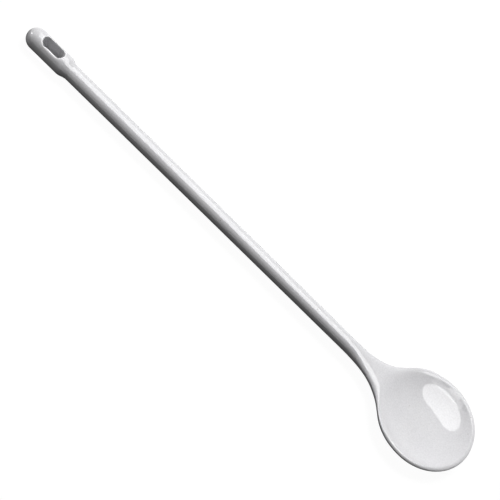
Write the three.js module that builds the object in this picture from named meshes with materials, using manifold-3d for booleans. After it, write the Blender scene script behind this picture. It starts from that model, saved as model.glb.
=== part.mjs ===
// A long mixing spoon in hard white plastic, lying face up as it rests on a table.
// Three mouldings make it: a hanging eye, a round tapered handle and a bowl with its neck.
// The eye and the neck each end in a tang that is bonded into a socket in the handle.
// Millimetres, +X along the handle towards the bowl, +Y across it, +Z up.
import * as THREE from 'three';
import { mergeVertices } from 'three/addons/utils/BufferGeometryUtils.js';
import Module from 'manifold-3d';

// Hanging eye: a domed barrel with a slot through it and a shoulder down to the handle
const EYE_DIAMETER = 11.65;
const EYE_DOME_LENGTH = 6.1;
const EYE_BARREL_LENGTH = 18.8;
const EYE_SHOULDER_LENGTH = 5.6;
const SLOT_LENGTH = 13.6;
const SLOT_WIDTH = 6.5;
const SLOT_CENTRE_FROM_END = 15.6;

// Handle: a straight round rod that tapers a little towards the bowl
const HANDLE_LENGTH = 195.9;
const HANDLE_EYE_DIAMETER = 9;
const HANDLE_NECK_DIAMETER = 8.44;

// Bonded joints at both ends of the handle
const TANG_DIAMETER = 5;
const TANG_LENGTH = 14;
const BOND_GAP = 0.3;

// Neck: flat on top, deep underneath, flaring from the handle to the round bowl
const NECK_LENGTH = 55.7;
const NECK_FLATTENING_LENGTH = 21;
const NECK_TOP_HEIGHT = 2.2;
const NECK_SHOULDER = 5.2;
const SHOULDER_FADE_START = 20;
const SHOULDER_FADE_LENGTH = 20;
const NECK_KEEL_DEPTH = 4.6;
const NECK_KEEL_SPREAD = 1.3;
const NECK_BLEND = 2;
const EDGE_LIFT = 1.5;
const EDGE_RISE_START = 24;
const EDGE_RISE_LENGTH = 10;
const EDGE_FALL_LENGTH = 16;
const FLARE_HANDLE_PULL = 30.5;
const FLARE_BOWL_PULL = 13.5;
const FLARE_JOIN_ANGLE = THREE.MathUtils.degToRad(60);

// Bowl: a shallow dish, a little longer towards the neck, with a rounded rim and a small flat to rest on
const BOWL_RADIUS = 27.3;
const BOWL_BACK_RADIUS = 29.6;
const BOWL_DEPTH = 6.4;
const BOWL_FLOOR = 3.2;
const DISH_POWER = 2.8;
const RIM_HALF_HEIGHT = 1.5;
const RIM_WIDTH = 1.9;
const RIM_ROUNDING = 2.5;
const RIM_LIFT = 0.7;
const RIM_BLEND = 0.3;
const BELLY_BLEND = 3;
const FOOT_DIAMETER = 13;

// How finely the round forms are divided, and how close corners have to be to count as one
const ROUND_SIDES = 48;
const DOME_STEPS = 9;
const SHOULDER_STEPS = 6;
const SLOT_END_STEPS = 12;
const FLARE_STEPS = 16;
const BOWL_STEPS = 24;
const MERGE_DISTANCE = 1e-5;

// Places along the handle's axis, with the middle of the spoon's length at zero
const EYE_LENGTH = EYE_DOME_LENGTH + EYE_BARREL_LENGTH + EYE_SHOULDER_LENGTH;
const SPOON_LENGTH = EYE_LENGTH + HANDLE_LENGTH + 2 * BOND_GAP + NECK_LENGTH + BOWL_RADIUS;
const EYE_END_X = -SPOON_LENGTH / 2;
const BARREL_X = EYE_END_X + EYE_DOME_LENGTH;
const SHOULDER_X = BARREL_X + EYE_BARREL_LENGTH;
const EYE_SEAM_X = SHOULDER_X + EYE_SHOULDER_LENGTH;
const HANDLE_START_X = EYE_SEAM_X + BOND_GAP;
const HANDLE_END_X = HANDLE_START_X + HANDLE_LENGTH;
const NECK_X = HANDLE_END_X + BOND_GAP;
const BOWL_X = NECK_X + NECK_LENGTH;

// Heights from the handle's axis
const EYE_RADIUS = EYE_DIAMETER / 2;
const HANDLE_EYE_RADIUS = HANDLE_EYE_DIAMETER / 2;
const HANDLE_NECK_RADIUS = HANDLE_NECK_DIAMETER / 2;
const TANG_RADIUS = TANG_DIAMETER / 2;
const SOCKET_RADIUS = TANG_RADIUS + BOND_GAP;
const DISH_RADIUS = BOWL_RADIUS - RIM_WIDTH;
const RIM_TOP_Z = RIM_LIFT + RIM_HALF_HEIGHT;
const RIM_UNDER_Z = RIM_LIFT - RIM_HALF_HEIGHT;
const DISH_FLOOR_Z = RIM_TOP_Z - BOWL_DEPTH;
const FOOT_Z = DISH_FLOOR_Z - BOWL_FLOOR;

// The spoon rests on the eye's barrel and on the flat under the bowl, which tilts its axis
const TILT = Math.asin((-FOOT_Z - EYE_RADIUS) / (BOWL_X - BARREL_X));
const AXIS_Z = -FOOT_Z * Math.cos(TILT) - BOWL_X * Math.sin(TILT);

const wasm = await Module();
wasm.setup();

function melamine() {
  return new THREE.MeshStandardMaterial({ color: 0xe2e2e4, roughness: 0.22, metalness: 0 });
}

// Closed geometry to a solid: shared corners are merged and triangles with no area left out
function solidFrom(geometry) {
  geometry.deleteAttribute('normal');
  geometry.deleteAttribute('uv');
  const merged = mergeVertices(geometry, MERGE_DISTANCE);
  const corners = merged.index.array;
  const kept = [];
  for (let i = 0; i < corners.length; i += 3) {
    const [a, b, c] = corners.subarray(i, i + 3);
    if (a !== b && b !== c && c !== a) {
      kept.push(a, b, c);
    }
  }
  return new wasm.Manifold(new wasm.Mesh({
    numProp: 3,
    vertProperties: merged.attributes.position.array,
    triVerts: new Uint32Array(kept),
  }));
}

function meshFrom(name, solid) {
  const { vertProperties, triVerts } = solid.getMesh();
  const geometry = new THREE.BufferGeometry();
  geometry.setAttribute('position', new THREE.BufferAttribute(vertProperties, 3));
  geometry.setIndex(new THREE.BufferAttribute(triVerts, 1));
  geometry.computeVertexNormals();
  const mesh = new THREE.Mesh(geometry, melamine());
  mesh.name = name;
  return mesh;
}

// A turned solid about the X axis: the profile is a list of [x, radius] from one end to the other
function turned(profile) {
  const points = profile.map(([x, radius]) => new THREE.Vector2(radius, x));
  const geometry = new THREE.LatheGeometry(points, ROUND_SIDES);
  geometry.rotateZ(-Math.PI / 2);
  return solidFrom(geometry);
}

// Smooth step from 0 at start to 1 at end
function ease(x, start, end) {
  return THREE.MathUtils.smoothstep(x, start, end);
}

// The lower of two heights, with the corner between them rounded over the given height
function softLower(a, b, blend) {
  const share = THREE.MathUtils.clamp(0.5 + (b - a) / (2 * blend), 0, 1);
  return THREE.MathUtils.lerp(b, a, share) - blend * share * (1 - share);
}

// Rise of a rounded edge, from 0 at the edge to 1 at its reach and beyond
function quarterRound(distance, reach) {
  const inward = 1 - Math.min(distance / reach, 1);
  return Math.sqrt(1 - inward * inward);
}

function makeHangingEye() {
  const profile = [];
  for (let i = 0; i <= DOME_STEPS; i += 1) {
    const angle = (i / DOME_STEPS) * (Math.PI / 2);
    profile.push([BARREL_X - EYE_DOME_LENGTH * Math.cos(angle), EYE_RADIUS * Math.sin(angle)]);
  }
  for (let i = 0; i <= SHOULDER_STEPS; i += 1) {
    const along = i / SHOULDER_STEPS;
    const drop = ease(along, 0, 1) * (EYE_RADIUS - HANDLE_EYE_RADIUS);
    profile.push([SHOULDER_X + EYE_SHOULDER_LENGTH * along, EYE_RADIUS - drop]);
  }
  const tangEnd = EYE_SEAM_X + TANG_LENGTH;
  profile.push([EYE_SEAM_X, TANG_RADIUS], [tangEnd, TANG_RADIUS], [tangEnd, 0]);

  const endRadius = SLOT_WIDTH / 2;
  const half = SLOT_LENGTH / 2 - endRadius;
  const outline = new THREE.Shape();
  outline.absarc(half, 0, endRadius, -Math.PI / 2, Math.PI / 2, false);
  outline.absarc(-half, 0, endRadius, Math.PI / 2, Math.PI * 1.5, false);
  const cutter = new THREE.ExtrudeGeometry(outline, {
    depth: 2 * EYE_DIAMETER,
    bevelEnabled: false,
    curveSegments: SLOT_END_STEPS,
  });
  cutter.translate(EYE_END_X + SLOT_CENTRE_FROM_END, 0, -EYE_DIAMETER);
  return meshFrom('hanging_eye', turned(profile).subtract(solidFrom(cutter)));
}

function makeHandle() {
  const eyeSocketEnd = HANDLE_START_X + TANG_LENGTH;
  const neckSocketEnd = HANDLE_END_X - TANG_LENGTH;
  return meshFrom('handle', turned([
    [eyeSocketEnd, 0],
    [eyeSocketEnd, SOCKET_RADIUS],
    [HANDLE_START_X, SOCKET_RADIUS],
    [HANDLE_START_X, HANDLE_EYE_RADIUS],
    [HANDLE_END_X, HANDLE_NECK_RADIUS],
    [HANDLE_END_X, SOCKET_RADIUS],
    [neckSocketEnd, SOCKET_RADIUS],
    [neckSocketEnd, 0],
  ]));
}

// Half of the bowl's outline seen from above, from the neck's seam to the tip.
// Each station has its outline point and the point on the axis that its inward normal meets.
function bowlStations() {
  const joinX = BOWL_X - BOWL_BACK_RADIUS * Math.cos(FLARE_JOIN_ANGLE);
  const joinY = BOWL_RADIUS * Math.sin(FLARE_JOIN_ANGLE);
  const pull = new THREE.Vector2(
    BOWL_BACK_RADIUS * Math.sin(FLARE_JOIN_ANGLE),
    BOWL_RADIUS * Math.cos(FLARE_JOIN_ANGLE),
  ).setLength(FLARE_BOWL_PULL);
  const flare = new THREE.CubicBezierCurve(
    new THREE.Vector2(NECK_X, HANDLE_NECK_RADIUS),
    new THREE.Vector2(NECK_X + FLARE_HANDLE_PULL, HANDLE_NECK_RADIUS),
    new THREE.Vector2(joinX - pull.x, joinY - pull.y),
    new THREE.Vector2(joinX, joinY),
  );
  const stations = [];
  for (let i = 0; i < FLARE_STEPS; i += 1) {
    const point = flare.getPoint(i / FLARE_STEPS);
    const direction = flare.getTangent(i / FLARE_STEPS);
    const axisX = point.x + (point.y * direction.y) / direction.x;
    stations.push({ x: point.x, y: point.y, axisX: Math.min(axisX, BOWL_X) });
  }
  for (let i = 0; i <= BOWL_STEPS; i += 1) {
    const angle = THREE.MathUtils.lerp(FLARE_JOIN_ANGLE, Math.PI, i / BOWL_STEPS);
    const length = angle < Math.PI / 2 ? BOWL_BACK_RADIUS : BOWL_RADIUS;
    const y = i < BOWL_STEPS ? BOWL_RADIUS * Math.sin(angle) : 0;
    const offCentre = (length - BOWL_RADIUS ** 2 / length) * Math.cos(angle);
    stations.push({ x: BOWL_X - length * Math.cos(angle), y, axisX: BOWL_X - Math.max(offCentre, 0) });
  }
  return stations;
}

// Heights of the bowl and neck above and below a point that lies a distance in from the outline.
// The edge between the two faces rises along the neck and settles at the bowl's rim.
function bowlHeights(x, y, distance, reach) {
  const { lerp } = THREE.MathUtils;
  const flattened = ease(x, NECK_X, NECK_X + NECK_FLATTENING_LENGTH);
  const rimShare = ease(x, BOWL_X - BOWL_RADIUS, BOWL_X);
  const length = x < BOWL_X ? BOWL_BACK_RADIUS : BOWL_RADIUS;
  const fromCentre = Math.hypot(((x - BOWL_X) * BOWL_RADIUS) / length, y) / DISH_RADIUS;

  const riseX = NECK_X + EDGE_RISE_START;
  const peakX = riseX + EDGE_RISE_LENGTH;
  const settled = ease(x, peakX, peakX + EDGE_FALL_LENGTH);
  const edge = lerp(EDGE_LIFT * ease(x, riseX, peakX), RIM_LIFT, settled);

  const neckTop = lerp(HANDLE_NECK_RADIUS, NECK_TOP_HEIGHT, flattened);
  const fadeX = NECK_X + SHOULDER_FADE_START;
  const faded = ease(x, fadeX, fadeX + SHOULDER_FADE_LENGTH);
  const topRounding = Math.min(lerp(NECK_SHOULDER, RIM_ROUNDING, faded), reach);
  const dish = DISH_FLOOR_Z + BOWL_DEPTH * fromCentre ** DISH_POWER;
  const topBlend = lerp(NECK_BLEND, RIM_BLEND, rimShare);
  const top = softLower(lerp(neckTop, RIM_TOP_Z, rimShare), dish, topBlend);

  const neckKeel = -lerp(HANDLE_NECK_RADIUS, NECK_KEEL_DEPTH, flattened);
  const keel = lerp(neckKeel, RIM_UNDER_Z, rimShare);
  const keelRounding = Math.min((edge - keel) * NECK_KEEL_SPREAD, reach);
  const footShare = (FOOT_DIAMETER / 2 / DISH_RADIUS) ** 2;
  const bellyFloor = (FOOT_Z - RIM_UNDER_Z * footShare) / (1 - footShare);
  const belly = lerp(bellyFloor, RIM_UNDER_Z, fromCentre ** 2);
  const bellyBlend = lerp(BELLY_BLEND, RIM_BLEND, rimShare);
  const under = softLower(keel, belly, bellyBlend);

  return {
    top: lerp(edge, top, quarterRound(distance, topRounding)),
    under: lerp(edge, under, quarterRound(distance, keelRounding)),
  };
}

// Shares of the way from the outline (0) to the axis (1), closest together at the rim
function raySteps() {
  const count = ROUND_SIDES / 4;
  return Array.from({ length: count + 1 }, (_, i) => 1 - Math.cos((i / count) * (Math.PI / 2)));
}

// One closed ring: in from the axis under the near side, over the top and back under the far side
function ringFrom(pointAt) {
  const outwards = raySteps().slice(1).reverse();
  const inwards = raySteps().slice(0, -1);
  return [
    ...outwards.map((share) => pointAt(-1, share, 'under')),
    ...inwards.map((share) => pointAt(-1, share, 'top')),
    ...outwards.map((share) => pointAt(1, share, 'top')),
    ...inwards.map((share) => pointAt(1, share, 'under')),
  ];
}

function roundRing(x, radius) {
  return ringFrom((side, share, face) => {
    const height = radius * quarterRound(share, 1);
    return [x, side * radius * (1 - share), face === 'top' ? height : -height];
  });
}

function stationRing({ x, y, axisX }) {
  const reach = Math.hypot(axisX - x, y);
  return ringFrom((side, share, face) => {
    const px = THREE.MathUtils.lerp(x, axisX, share);
    const py = y * (1 - share);
    return [px, side * py, bowlHeights(px, py, share * reach, reach)[face]];
  });
}

function loft(rings) {
  const around = rings[0].length;
  const positions = new Float32Array(rings.flat(2));
  const index = [];
  for (let r = 0; r + 1 < rings.length; r += 1) {
    for (let i = 0; i < around; i += 1) {
      const next = (i + 1) % around;
      const a = r * around + i;
      const b = r * around + next;
      index.push(a, a + around, b, b, a + around, b + around);
    }
  }
  const geometry = new THREE.BufferGeometry();
  geometry.setAttribute('position', new THREE.BufferAttribute(positions, 3));
  geometry.setIndex(index);
  return solidFrom(geometry);
}

function makeBowl() {
  const tangEnd = NECK_X - TANG_LENGTH;
  const body = loft([
    roundRing(tangEnd, 0),
    roundRing(tangEnd, TANG_RADIUS),
    roundRing(NECK_X, TANG_RADIUS),
    ...bowlStations().map(stationRing),
  ]);
  const table = new THREE.BoxGeometry(4 * BOWL_RADIUS, 4 * BOWL_RADIUS, BOWL_DEPTH);
  table.translate(0, 0, -BOWL_DEPTH / 2);
  table.rotateY(TILT);
  table.translate(BOWL_X, 0, FOOT_Z);
  return meshFrom('bowl', body.subtract(solidFrom(table)));
}

const spoon = new THREE.Group();
spoon.name = 'mixing_spoon';
spoon.add(makeHangingEye(), makeHandle(), makeBowl());
spoon.rotation.y = -TILT;
spoon.position.z = AXIS_Z;

export default spoon;
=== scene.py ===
import math

import bmesh
import bpy
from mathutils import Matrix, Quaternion, Vector


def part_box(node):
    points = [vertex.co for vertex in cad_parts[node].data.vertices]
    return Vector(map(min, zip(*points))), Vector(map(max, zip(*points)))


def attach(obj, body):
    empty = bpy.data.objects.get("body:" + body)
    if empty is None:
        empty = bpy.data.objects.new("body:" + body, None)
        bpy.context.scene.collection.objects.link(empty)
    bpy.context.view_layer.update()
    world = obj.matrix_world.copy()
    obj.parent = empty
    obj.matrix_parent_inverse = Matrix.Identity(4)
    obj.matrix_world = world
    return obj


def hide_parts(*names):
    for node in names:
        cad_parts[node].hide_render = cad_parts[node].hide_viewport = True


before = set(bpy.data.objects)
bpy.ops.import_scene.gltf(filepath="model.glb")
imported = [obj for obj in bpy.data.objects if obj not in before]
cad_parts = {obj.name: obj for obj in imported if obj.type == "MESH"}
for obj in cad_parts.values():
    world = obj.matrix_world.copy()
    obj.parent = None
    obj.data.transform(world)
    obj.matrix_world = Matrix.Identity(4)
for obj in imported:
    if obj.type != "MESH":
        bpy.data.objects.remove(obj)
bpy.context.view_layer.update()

# Handle: a slim, straight, round rod of hard white melamine that tapers a little towards the bowl.
# It runs into the eye and the neck without a visible seam; inside, each end has the blind socket
# that the next piece's tang is bonded into.
EYE_SEAM_X = -0.12435
NECK_SEAM_X = 0.07185
HANDLE_EYE_RADIUS = 0.0045
HANDLE_NECK_RADIUS = 0.00422
TANG_RADIUS = 0.0025
TANG_LENGTH = 0.014
BOND_GAP = 0.0003
HANDLE_SIDES = 96
SMOOTH_ANGLE = math.radians(40)
END_FACING = 0.9
MELAMINE_IOR = 1.6
RESIN_DARK = (0.772, 0.768, 0.789, 1)
RESIN_LIGHT = (0.795, 0.792, 0.807, 1)
GRAIN_TONES = (0.87, 1.13)
SPECK_GREY = (0.4, 0.39, 0.37, 1)
SPECK_EDGE = (0.02, 0.045)
# Painted highlight colour for the rounded edges of the slot's mouths
PAINTED_HIGHLIGHT_WHITE = (0.97, 0.97, 0.98, 1)
GLOSS_ROUGHNESS = (0.03, 0.08)

# The spoon lies on the eye's barrel and on the bowl's foot, so its axis rises a little to the bowl
EYE_RADIUS = 0.005825
BARREL_X = -0.1489
FOOT_DROP = 0.0074
BOWL_X = 0.1277
TILT = math.asin((FOOT_DROP - EYE_RADIUS) / (BOWL_X - BARREL_X))
AXIS_HEIGHT = FOOT_DROP * math.cos(TILT) - BOWL_X * math.sin(TILT)


def apply_placement():
    bpy.ops.object.transform_apply(location=True, rotation=True, scale=True)


def select_faces(piece, wanted):
    bpy.ops.mesh.select_mode(type="FACE")
    bpy.ops.mesh.select_all(action="DESELECT")
    shell = bmesh.from_edit_mesh(piece.data)
    for face in shell.faces:
        face.select_set(wanted(face))
    bmesh.update_edit_mesh(piece.data)


def extrude(x=0.0, y=0.0, z=0.0):
    bpy.ops.mesh.extrude_region_move(TRANSFORM_OT_translate={"value": (x, y, z)})


def lay_on_table(piece):
    piece.rotation_euler.y = -TILT
    piece.location.z = AXIS_HEIGHT
    apply_placement()


def finish_surface():
    bpy.ops.mesh.select_all(action="SELECT")
    bpy.ops.mesh.normals_make_consistent(inside=False)
    bpy.ops.object.mode_set(mode="OBJECT")
    bpy.ops.object.shade_smooth_by_angle(angle=SMOOTH_ANGLE)


def add_noise(tree, place, scale, detail):
    texture = tree.nodes.new("ShaderNodeTexNoise")
    texture.inputs["Scale"].default_value = scale
    texture.inputs["Detail"].default_value = detail
    tree.links.new(place, texture.inputs["Vector"])
    return texture.outputs["Fac"]


def remap(tree, value, old_range, new_range):
    ranged = tree.nodes.new("ShaderNodeMapRange")
    for socket, limit in zip(("From Min", "From Max", "To Min", "To Max"), old_range + new_range):
        ranged.inputs[socket].default_value = limit
    tree.links.new(value, ranged.inputs["Value"])
    return ranged.outputs["Result"]


def tint(tree, colour, other_colour, share):
    tinted = tree.nodes.new("ShaderNodeMix")
    tinted.data_type = "RGBA"
    tinted.inputs["B"].default_value = other_colour
    tree.links.new(colour, tinted.inputs["A"])
    tree.links.new(share, tinted.inputs["Factor"])
    return tinted.outputs["Result"]


def add_bump(tree, height, strength, depth):
    bump = tree.nodes.new("ShaderNodeBump")
    bump.inputs["Strength"].default_value = strength
    bump.inputs["Distance"].default_value = depth
    tree.links.new(height, bump.inputs["Height"])
    return bump


def resin_colour(tree, place):
    # Faint clouds in the moulded resin
    clouds = tree.nodes.new("ShaderNodeValToRGB")
    clouds.color_ramp.elements[0].position = 0.3
    clouds.color_ramp.elements[0].color = RESIN_DARK
    clouds.color_ramp.elements[1].position = 0.7
    clouds.color_ramp.elements[1].color = RESIN_LIGHT
    tree.links.new(add_noise(tree, place, scale=70, detail=3), clouds.inputs["Fac"])

    # A fine grain of lighter and darker resin
    grained = tree.nodes.new("ShaderNodeHueSaturation")
    flecks = add_noise(tree, place, scale=1300, detail=2)
    tree.links.new(remap(tree, flecks, (0, 1), GRAIN_TONES), grained.inputs["Value"])
    tree.links.new(clouds.outputs["Color"], grained.inputs["Color"])

    # A few fine specks in the resin
    specks = tree.nodes.new("ShaderNodeTexVoronoi")
    specks.inputs["Scale"].default_value = 130
    tree.links.new(place, specks.inputs["Vector"])
    speck_share = remap(tree, specks.outputs["Distance"], SPECK_EDGE, (1, 0))
    speckled = tint(tree, grained.outputs["Color"], SPECK_GREY, speck_share)

    # Painted highlight: edges painted lighter where a piece marks them, in place of the light that they
    # catch
    painted_highlight = tree.nodes.new("ShaderNodeAttribute")
    painted_highlight.attribute_name = "painted_highlight"
    return tint(tree, speckled, PAINTED_HIGHLIGHT_WHITE, painted_highlight.outputs["Fac"])


def wiped_gloss(tree, place):
    # Gloss that varies where the spoon was wiped and handled
    wipes = add_noise(tree, place, scale=160, detail=6)
    return remap(tree, wipes, (0, 1), GLOSS_ROUGHNESS)


def moulded_skin(tree, place):
    # A slow ripple left by the mould and a fine grain over it
    ripple = add_bump(tree, add_noise(tree, place, scale=90, detail=1), strength=0.02, depth=0.0002)
    grain = add_bump(tree, add_noise(tree, place, scale=2500, detail=2), strength=0.05, depth=0.00002)
    tree.links.new(ripple.outputs["Normal"], grain.inputs["Normal"])
    return grain.outputs["Normal"]


def white_melamine():
    material = bpy.data.materials.new("white_melamine")
    material.use_nodes = True
    tree = material.node_tree
    place = tree.nodes.new("ShaderNodeTexCoord").outputs["Object"]
    shader = tree.nodes["Principled BSDF"]
    shader.inputs["IOR"].default_value = MELAMINE_IOR
    tree.links.new(resin_colour(tree, place), shader.inputs["Base Color"])
    tree.links.new(wiped_gloss(tree, place), shader.inputs["Roughness"])
    tree.links.new(moulded_skin(tree, place), shader.inputs["Normal"])
    return material


melamine = white_melamine()

bpy.ops.object.select_all(action="DESELECT")
bpy.ops.mesh.primitive_cone_add(
    vertices=HANDLE_SIDES,
    radius1=HANDLE_EYE_RADIUS,
    radius2=HANDLE_NECK_RADIUS,
    depth=NECK_SEAM_X - EYE_SEAM_X,
    location=((EYE_SEAM_X + NECK_SEAM_X) / 2, 0, 0),
    rotation=(0, math.pi / 2, 0),
)
handle = bpy.context.object
handle.name = "handle_rod"
apply_placement()
bpy.ops.object.mode_set(mode="EDIT")
for outward, end_radius in ((-1, HANDLE_EYE_RADIUS), (1, HANDLE_NECK_RADIUS)):
    select_faces(handle, lambda face: face.normal.x * outward > END_FACING)
    bpy.ops.mesh.inset(thickness=end_radius - TANG_RADIUS - BOND_GAP)
    extrude(x=-outward * (TANG_LENGTH + BOND_GAP))
finish_surface()
lay_on_table(handle)
handle.data.materials.append(melamine)
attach(handle, "root")
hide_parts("handle")

# Hanging eye: a thicker barrel of the same melamine with a domed end and a soft shoulder down to
# the handle. A long slot with rounded mouths goes through it, so that the spoon hangs on a hook.
EYE_END_X = -0.155
SHOULDER_X = -0.1301
SLOT_X = -0.1394
SLOT_HALF_STRAIGHT = 0.00355
SLOT_RADIUS = 0.00325
MOUTH_ROUNDING = 0.0007
WINDOW_HALF_LENGTH = 0.0084
WINDOW_HALF_WIDTH = 0.0047
EYE_SIDES = 96
DOME_STEPS = 16
BARREL_STEPS = 44
SHOULDER_STEPS = 14
LIP_STEPS = 5
ROUNDING_STEPS = 6
WALL_STEPS = 4
WELD = 0.000001


def ease(value, start, end):
    share = min(max((value - start) / (end - start), 0), 1)
    return share * share * (3 - 2 * share)


def mix(a, b, share):
    return a + (b - a) * share


def select_verts(piece, wanted):
    bpy.ops.mesh.select_mode(type="VERT")
    bpy.ops.mesh.select_all(action="DESELECT")
    shell = bmesh.from_edit_mesh(piece.data)
    for vert in shell.verts:
        vert.select_set(wanted(vert))
    shell.select_flush_mode()
    bmesh.update_edit_mesh(piece.data)


def move_selected(piece, moved):
    shell = bmesh.from_edit_mesh(piece.data)
    for vert in shell.verts:
        if vert.select:
            vert.co = moved(vert.co)
    bmesh.update_edit_mesh(piece.data)


def add_tang(piece, seam_x, seam_radius, direction):
    select_verts(piece, lambda vert: abs(vert.co.x - seam_x) < WELD)
    bpy.ops.mesh.edge_face_add()
    bpy.ops.mesh.inset(thickness=seam_radius - TANG_RADIUS)
    extrude(x=direction * TANG_LENGTH)


def add_tube(name, sides, rings):
    bpy.ops.object.select_all(action="DESELECT")
    bpy.ops.mesh.primitive_cylinder_add(
        vertices=sides,
        radius=1,
        depth=rings,
        end_fill_type="NOTHING",
        location=(rings / 2, 0, 0),
        rotation=(0, math.pi / 2, 0),
    )
    tube = bpy.context.object
    tube.name = name
    apply_placement()
    bpy.ops.object.mode_set(mode="EDIT")
    bpy.ops.mesh.select_mode(type="EDGE")
    bpy.ops.mesh.select_all(action="DESELECT")
    shell = bmesh.from_edit_mesh(tube.data)
    for edge in shell.edges:
        edge.select_set(abs(edge.verts[0].co.x - edge.verts[1].co.x) > rings / 2)
    bmesh.update_edit_mesh(tube.data)
    bpy.ops.mesh.subdivide(number_cuts=rings - 1)
    bpy.ops.mesh.select_all(action="SELECT")
    return tube


eye_profile = []
for step in range(DOME_STEPS):
    turn = step / DOME_STEPS * math.pi / 2
    dome_x = BARREL_X - (BARREL_X - EYE_END_X) * math.cos(turn)
    eye_profile.append((dome_x, EYE_RADIUS * math.sin(turn)))
for step in range(BARREL_STEPS):
    eye_profile.append((mix(BARREL_X, SHOULDER_X, step / BARREL_STEPS), EYE_RADIUS))
for step in range(SHOULDER_STEPS + 1):
    along = step / SHOULDER_STEPS
    shoulder_radius = mix(EYE_RADIUS, HANDLE_EYE_RADIUS, ease(along, 0, 1))
    eye_profile.append((mix(SHOULDER_X, EYE_SEAM_X, along), shoulder_radius))


def turned(place):
    x, radius = eye_profile[round(place.x)]
    return Vector((x, place.y * radius, place.z * radius))


eye = add_tube("hanging_eye_barrel", EYE_SIDES, len(eye_profile) - 1)
move_selected(eye, turned)
bpy.ops.mesh.remove_doubles(threshold=WELD)
add_tang(eye, EYE_SEAM_X, HANDLE_EYE_RADIUS, 1)


def in_window(face):
    middle = face.calc_center_median()
    if abs(middle.x - SLOT_X) > WINDOW_HALF_LENGTH:
        return False
    return abs(middle.y) < WINDOW_HALF_WIDTH


select_faces(eye, in_window)
bpy.ops.mesh.delete(type="FACE")


def slot_ray(place):
    core_x = min(max(place.x, SLOT_X - SLOT_HALF_STRAIGHT), SLOT_X + SLOT_HALF_STRAIGHT)
    core = Vector((core_x, 0))
    outward = Vector((place.x, place.y)) - core
    return core, outward.normalized(), outward.length


def on_barrel(plan, side):
    return Vector((plan.x, plan.y, side * math.sqrt(EYE_RADIUS**2 - plan.y**2)))


def lip_point(place, side, steps_left):
    core, outward, reach = slot_ray(place)
    reach += (SLOT_RADIUS + MOUTH_ROUNDING - reach) / steps_left
    return on_barrel(core + outward * reach, side)


def rounding_point(place, side, share):
    core, outward, _ = slot_ray(place)
    start = on_barrel(core + outward * (SLOT_RADIUS + MOUTH_ROUNDING), side)
    corner = on_barrel(core + outward * SLOT_RADIUS, side)
    end = corner - Vector((0, 0, side * MOUTH_ROUNDING))
    return start.lerp(corner, share).lerp(corner.lerp(end, share), share)


def select_rim(piece, side):
    bpy.ops.mesh.select_mode(type="EDGE")
    bpy.ops.mesh.select_all(action="DESELECT")
    shell = bmesh.from_edit_mesh(piece.data)
    for edge in shell.edges:
        edge.select_set(edge.is_boundary and edge.verts[0].co.z * side > 0)
    bmesh.update_edit_mesh(piece.data)


for side in (1, -1):
    select_rim(eye, side)
    for step in range(LIP_STEPS):
        extrude()
        move_selected(eye, lambda place: lip_point(place, side, LIP_STEPS - step))
    for step in range(ROUNDING_STEPS):
        extrude()
        share = (step + 1) / ROUNDING_STEPS
        move_selected(eye, lambda place: rounding_point(place, side, share))
    for step in range(WALL_STEPS):
        extrude()
        keep = 1 - 1 / (WALL_STEPS - step)
        move_selected(eye, lambda place: Vector((place.x, place.y, place.z * keep)))
bpy.ops.mesh.select_all(action="SELECT")
bpy.ops.mesh.remove_doubles(threshold=WELD)
finish_surface()

# Painted highlight: the rounded edges of the slot's mouths are painted lighter, in place of the light that
# they catch
painted_highlight_marks = eye.data.attributes.new("painted_highlight", "FLOAT", "POINT")
for vert in eye.data.vertices:
    reach = slot_ray(vert.co)[2] - SLOT_RADIUS
    if WELD < reach < MOUTH_ROUNDING + WELD:
        painted_highlight_marks.data[vert.index].value = 1

lay_on_table(eye)
eye.data.materials.append(melamine)
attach(eye, "root")
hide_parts("hanging_eye")

# Bowl and neck: a shallow round dish of the same melamine with a rounded rim, and the neck that
# flares into it, flat on top and deep underneath. It is moulded in one, and the middle of its
# underside is a small flat that the spoon rests on.
NECK_FLATTENING_LENGTH = 0.021
NECK_TOP_HEIGHT = 0.0022
NECK_SHOULDER = 0.0052
SHOULDER_FADE_START = 0.02
SHOULDER_FADE_LENGTH = 0.02
NECK_KEEL_DEPTH = 0.0046
NECK_KEEL_SPREAD = 1.3
NECK_BLEND = 0.002
EDGE_LIFT = 0.0015
EDGE_RISE_START = 0.024
EDGE_RISE_LENGTH = 0.01
EDGE_FALL_LENGTH = 0.016
FLARE_HANDLE_PULL = 0.0305
FLARE_BOWL_PULL = 0.0135
FLARE_JOIN_ANGLE = math.radians(60)
BOWL_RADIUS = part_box("bowl")[1].y
BOWL_BACK_RADIUS = 0.0296
BOWL_DEPTH = 0.0064
BOWL_FLOOR = 0.0032
DISH_POWER = 2.8
RIM_HALF_HEIGHT = 0.0015
RIM_WIDTH = 0.0019
RIM_ROUNDING = 0.0025
RIM_LIFT = 0.0007
RIM_BLEND = 0.0003
BELLY_BLEND = 0.003
FOOT_RADIUS = 0.0065
BOWL_SIDES = 144
FLARE_RINGS = 48
BOWL_RINGS = 132

DISH_RADIUS = BOWL_RADIUS - RIM_WIDTH
DISH_FLOOR = BOWL_FLOOR - FOOT_DROP
RIM_TOP = RIM_LIFT + RIM_HALF_HEIGHT
RIM_UNDERSIDE = RIM_LIFT - RIM_HALF_HEIGHT
FOOT_SHARE = (FOOT_RADIUS / DISH_RADIUS) ** 2
BELLY_FLOOR = (-FOOT_DROP - RIM_UNDERSIDE * FOOT_SHARE) / (1 - FOOT_SHARE)

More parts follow.
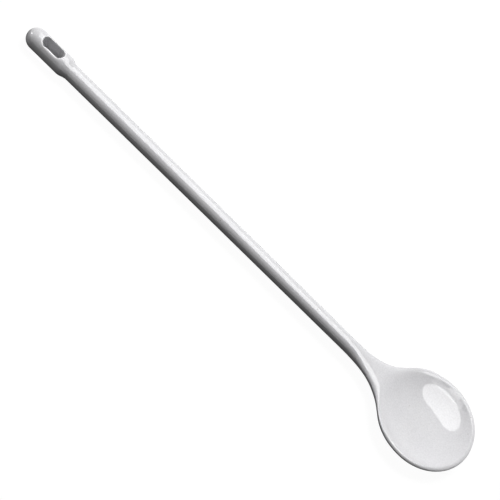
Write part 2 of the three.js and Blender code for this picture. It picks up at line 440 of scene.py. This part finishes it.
# The plan of each ring: where its edge lies, and where on the axis it looks to
join_cos = math.cos(FLARE_JOIN_ANGLE)
join_sin = math.sin(FLARE_JOIN_ANGLE)
join = Vector((BOWL_X - BOWL_BACK_RADIUS * join_cos, BOWL_RADIUS * join_sin))
pull = Vector((BOWL_BACK_RADIUS * join_sin, BOWL_RADIUS * join_cos))
flare = [
    Vector((NECK_SEAM_X, HANDLE_NECK_RADIUS)),
    Vector((NECK_SEAM_X + FLARE_HANDLE_PULL, HANDLE_NECK_RADIUS)),
    join - pull.normalized() * FLARE_BOWL_PULL,
    join,
]
ring_plans = []
for step in range(FLARE_RINGS):
    share = step / FLARE_RINGS
    first, second, third = (flare[i].lerp(flare[i + 1], share) for i in range(3))
    lower = first.lerp(second, share)
    upper = second.lerp(third, share)
    edge = lower.lerp(upper, share)
    slope = (upper - lower).y / (upper - lower).x
    ring_plans.append((edge, Vector((min(edge.x + edge.y * slope, BOWL_X), 0))))
for step in range(BOWL_RINGS + 1):
    turn = mix(FLARE_JOIN_ANGLE, math.pi, step / BOWL_RINGS)
    length = BOWL_BACK_RADIUS if turn < math.pi / 2 else BOWL_RADIUS
    edge = Vector((BOWL_X - length * math.cos(turn), BOWL_RADIUS * math.sin(turn)))
    off_centre = (length - BOWL_RADIUS**2 / length) * math.cos(turn)
    ring_plans.append((edge, Vector((BOWL_X - max(off_centre, 0), 0))))


def soft_lower(a, b, blend):
    share = min(max(0.5 + (b - a) / (2 * blend), 0), 1)
    return mix(b, a, share) - blend * share * (1 - share)


def quarter_round(distance, reach):
    inward = 1 - min(distance / reach, 1)
    return math.sqrt(1 - inward * inward)


def moulded(place):
    edge, axis = ring_plans[round(place.x)]
    share = 1 - abs(place.y)
    plan = edge.lerp(axis, share)
    reach = (edge - axis).length
    flattened = ease(plan.x, NECK_SEAM_X, NECK_SEAM_X + NECK_FLATTENING_LENGTH)
    rim_share = ease(plan.x, BOWL_X - BOWL_RADIUS, BOWL_X)
    length = BOWL_BACK_RADIUS if plan.x < BOWL_X else BOWL_RADIUS
    from_centre = math.hypot((plan.x - BOWL_X) * BOWL_RADIUS / length, plan.y) / DISH_RADIUS
    rise_x = NECK_SEAM_X + EDGE_RISE_START
    peak_x = rise_x + EDGE_RISE_LENGTH
    settled = ease(plan.x, peak_x, peak_x + EDGE_FALL_LENGTH)
    level = mix(EDGE_LIFT * ease(plan.x, rise_x, peak_x), RIM_LIFT, settled)
    if place.z > 0:
        neck_top = mix(HANDLE_NECK_RADIUS, NECK_TOP_HEIGHT, flattened)
        fade_x = NECK_SEAM_X + SHOULDER_FADE_START
        faded = ease(plan.x, fade_x, fade_x + SHOULDER_FADE_LENGTH)
        rounding = mix(NECK_SHOULDER, RIM_ROUNDING, faded)
        dish = DISH_FLOOR + BOWL_DEPTH * from_centre**DISH_POWER
        blend = mix(NECK_BLEND, RIM_BLEND, rim_share)
        face = soft_lower(mix(neck_top, RIM_TOP, rim_share), dish, blend)
    else:
        neck_keel = -mix(HANDLE_NECK_RADIUS, NECK_KEEL_DEPTH, flattened)
        keel = mix(neck_keel, RIM_UNDERSIDE, rim_share)
        rounding = (level - keel) * NECK_KEEL_SPREAD
        belly = mix(BELLY_FLOOR, RIM_UNDERSIDE, from_centre**2)
        blend = mix(BELLY_BLEND, RIM_BLEND, rim_share)
        face = soft_lower(keel, belly, blend)
    z = mix(level, face, quarter_round(share * reach, min(rounding, reach)))
    return Vector((plan.x, math.copysign(plan.y, place.y), z))


bowl = add_tube("bowl_and_neck", BOWL_SIDES, len(ring_plans) - 1)
move_selected(bowl, moulded)
bpy.ops.mesh.remove_doubles(threshold=WELD)
add_tang(bowl, NECK_SEAM_X, HANDLE_NECK_RADIUS, -1)
bpy.ops.object.mode_set(mode="OBJECT")
lay_on_table(bowl)
bpy.ops.object.mode_set(mode="EDIT")
bpy.ops.mesh.select_all(action="SELECT")
bpy.ops.mesh.bisect(
    plane_co=(0, 0, 0),
    plane_no=(0, 0, 1),
    clear_inner=True,
    use_fill=True,
    threshold=WELD,
)
finish_surface()
bowl.data.materials.append(melamine)
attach(bowl, "root")
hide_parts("bowl")

# Floor and room: a plain white sweep that the spoon lies on, and the white room round it. Seen directly or
# in a reflection both are white, and the floor keeps the spoon's faint shadow. The light that they throw
# back is dim, so the shaded side of the spoon stays dark.
FLOOR_SIZE = 12
FLOOR_SHADE = (0.09, 0.09, 0.09, 1)
FLOOR_GLOW = 0.965
FLOOR_BOUNCE = (0.12, 0.12, 0.12, 1)
ROOM_WHITE = (1, 1, 1, 1)
ROOM_DIM = 0.13


def seen_rays(nodes, links):
    rays = nodes.new("ShaderNodeLightPath")
    shiny = nodes.new("ShaderNodeMath")
    shiny.operation = "MAXIMUM"
    links.new(rays.outputs["Is Glossy Ray"], shiny.inputs[0])
    links.new(rays.outputs["Is Transmission Ray"], shiny.inputs[1])
    seen = nodes.new("ShaderNodeMath")
    seen.operation = "MAXIMUM"
    links.new(rays.outputs["Is Camera Ray"], seen.inputs[0])
    links.new(shiny.outputs["Value"], seen.inputs[1])
    return seen.outputs["Value"]


bpy.ops.mesh.primitive_plane_add(size=FLOOR_SIZE, location=(0, 0, 0))
floor = bpy.context.object
floor.name = "floor"
floor_paint = bpy.data.materials.new("floor_paint")
floor_paint.use_nodes = True
floor_paint.cycles.emission_sampling = "NONE"
nodes = floor_paint.node_tree.nodes
links = floor_paint.node_tree.links
nodes.remove(nodes["Principled BSDF"])
shade = nodes.new("ShaderNodeBsdfDiffuse")
shade.inputs["Color"].default_value = FLOOR_SHADE
glow = nodes.new("ShaderNodeEmission")
glow.inputs["Strength"].default_value = FLOOR_GLOW
shown = nodes.new("ShaderNodeAddShader")
links.new(shade.outputs["BSDF"], shown.inputs[0])
links.new(glow.outputs["Emission"], shown.inputs[1])
bounce = nodes.new("ShaderNodeBsdfDiffuse")
bounce.inputs["Color"].default_value = FLOOR_BOUNCE
choice = nodes.new("ShaderNodeMixShader")
links.new(seen_rays(nodes, links), choice.inputs["Fac"])
links.new(bounce.outputs["BSDF"], choice.inputs[1])
links.new(shown.outputs["Shader"], choice.inputs[2])
links.new(choice.outputs["Shader"], nodes["Material Output"].inputs["Surface"])
floor.data.materials.append(floor_paint)

room = bpy.data.worlds.new("room")
bpy.context.scene.world = room
room.use_nodes = True
room.cycles.sampling_method = "NONE"
nodes = room.node_tree.nodes
links = room.node_tree.links
dim = nodes["Background"]
dim.inputs["Color"].default_value = ROOM_WHITE
dim.inputs["Strength"].default_value = ROOM_DIM
white = nodes.new("ShaderNodeBackground")
white.inputs["Color"].default_value = ROOM_WHITE
choice = nodes.new("ShaderNodeMixShader")
links.new(seen_rays(nodes, links), choice.inputs["Fac"])
links.new(dim.outputs["Background"], choice.inputs[1])
links.new(white.outputs["Background"], choice.inputs[2])
links.new(choice.outputs["Shader"], nodes["World Output"].inputs["Surface"])

# Lamps: a key lamp on the far side gives the spoon its light and shade, and a low one by the eye lifts its
# near flank. The softboxes overhead, on the far side and close to the bowl show only as highlights, and a
# lamp beyond the eye puts the small bright dot on its dome.
KEY_PLACE = Vector((-0.02, 0.507, 1.088))
KEY_SIZE = (0.7, 0.5)
KEY_WATTS = 12.6
END_PLACE = Vector((-1.3, -0.112, 0.33))
END_SIZE = (0.25, 0.25)
END_WATTS = 2
OVERHEAD_PLACE = Vector((0.15, 0.03, 1))
OVERHEAD_SIZE = (1.05, 0.73)
OVERHEAD_TURN = math.radians(-19.5)
OVERHEAD_WATTS = 8
FAR_PLACE = Vector((-0.17, 0.73, 1))
FAR_SIZE = (0.5, 0.84)
FAR_TURN = math.radians(18)
FAR_WATTS = 4.2
SMALL_PLACE = Vector((0.132, -0.06, 0.15))
SMALL_SIZE = (0.045, 0.036)
SMALL_WATTS = 0.022
WALL_PLACE = Vector((0.145, -0.034, 0.15))
WALL_SIZE = (0.11, 0.028)
WALL_WATTS = 0.0208
SIDE_PLACE = Vector((-0.3, -0.12, 0.1))
SIDE_SIZE = (0.1, 0.1)
SIDE_WATTS = 0.025


def add_lamp(name, place, size, watts):
    bpy.ops.object.light_add(type="AREA", location=place)
    lamp = bpy.context.object
    lamp.name = name
    lamp.data.shape = "RECTANGLE"
    lamp.data.size = size[0]
    lamp.data.size_y = size[1]
    lamp.data.energy = watts
    return lamp


def aim_lamp(lamp, target):
    lamp.rotation_euler = (target - lamp.location).to_track_quat("-Z", "Y").to_euler()


def lights_only(lamp, pieces):
    lit_pieces = bpy.data.collections.new(lamp.name + "_lights")
    for piece in pieces:
        lit_pieces.objects.link(piece)
    lamp.light_linking.receiver_collection = lit_pieces


key = add_lamp("key_lamp", KEY_PLACE, KEY_SIZE, KEY_WATTS)
aim_lamp(key, Vector((0, 0, AXIS_HEIGHT)))
key.visible_glossy = False
end = add_lamp("end_lamp", END_PLACE, END_SIZE, END_WATTS)
aim_lamp(end, Vector((EYE_END_X, 0, 0)))
overhead = add_lamp("overhead_softbox", OVERHEAD_PLACE, OVERHEAD_SIZE, OVERHEAD_WATTS)
overhead.data.shape = "ELLIPSE"
overhead.rotation_euler.z = OVERHEAD_TURN
overhead.visible_diffuse = False
far = add_lamp("far_softbox", FAR_PLACE, FAR_SIZE, FAR_WATTS)
far.rotation_euler.z = FAR_TURN
far.visible_diffuse = False
lights_only(far, [handle, eye])
small = add_lamp("small_softbox", SMALL_PLACE, SMALL_SIZE, SMALL_WATTS)
small.visible_camera = False
small.visible_diffuse = False
lights_only(small, [bowl])
wall = add_lamp("wall_softbox", WALL_PLACE, WALL_SIZE, WALL_WATTS)
wall.visible_camera = False
wall.visible_diffuse = False
lights_only(wall, [bowl])
side = add_lamp("side_lamp", SIDE_PLACE, SIDE_SIZE, SIDE_WATTS)
aim_lamp(side, Vector((SLOT_X, 0, 0)))
side.visible_camera = False
side.visible_glossy = False

# Sampling the lamps evenly keeps the linked ones at their true strength
bpy.context.scene.cycles.use_light_tree = False

# Dark cards: two sheets of black felt on the near side, one flat on the floor and one leaning behind the
# camera. They stay out of the picture and throw no shadow, and they keep the spoon's near flank dark
# against the white floor.
FELT_BLACK = (0.01, 0.01, 0.01, 1)
FLOOR_CARD_PLACE = (0, -0.39, 0.0001)
FLOOR_CARD_SIZE = (1, 0.8, 1)
BACK_CARD_PLACE = (0, -0.98, 0.84)
BACK_CARD_SIZE = (3, 1.6, 1)
BACK_CARD_LEAN = math.radians(49)

felt = bpy.data.materials.new("black_felt")
felt.use_nodes = True
felt_shader = felt.node_tree.nodes["Principled BSDF"]
felt_shader.inputs["Base Color"].default_value = FELT_BLACK
felt_shader.inputs["Specular IOR Level"].default_value = 0


def add_card(name, place, size, lean):
    bpy.ops.mesh.primitive_plane_add(size=1, location=place, rotation=(lean, 0, 0))
    card = bpy.context.object
    card.name = name
    card.scale = size
    apply_placement()
    card.visible_camera = False
    card.visible_shadow = False
    card.data.materials.append(felt)
    return card


add_card("floor_card", FLOOR_CARD_PLACE, FLOOR_CARD_SIZE, 0)
back_card = add_card("back_card", BACK_CARD_PLACE, BACK_CARD_SIZE, BACK_CARD_LEAN)
back_card.visible_diffuse = False

# Camera: a long lens from the near side, looking well down on the spoon and rolled so that the spoon runs
# from the top left to the bottom right of the picture.
ELEVATION = math.radians(55)
ROLL = math.radians(44.63)
DISTANCE = 1.09
VIEW_WIDTH = 0.25373
AIM = Vector((0.00308, -0.00066, 0.00623))

view_back = Vector((0, -math.cos(ELEVATION), math.sin(ELEVATION)))
bpy.ops.object.camera_add(location=AIM + view_back * DISTANCE)
camera = bpy.context.object
level_turn = (-view_back).to_track_quat("-Z", "Y")
camera.rotation_euler = (level_turn @ Quaternion((0, 0, 1), ROLL)).to_euler()
camera.data.lens = camera.data.sensor_width * DISTANCE / VIEW_WIDTH
bpy.context.scene.camera = camera
bpy.context.scene.view_settings.view_transform = "Standard"
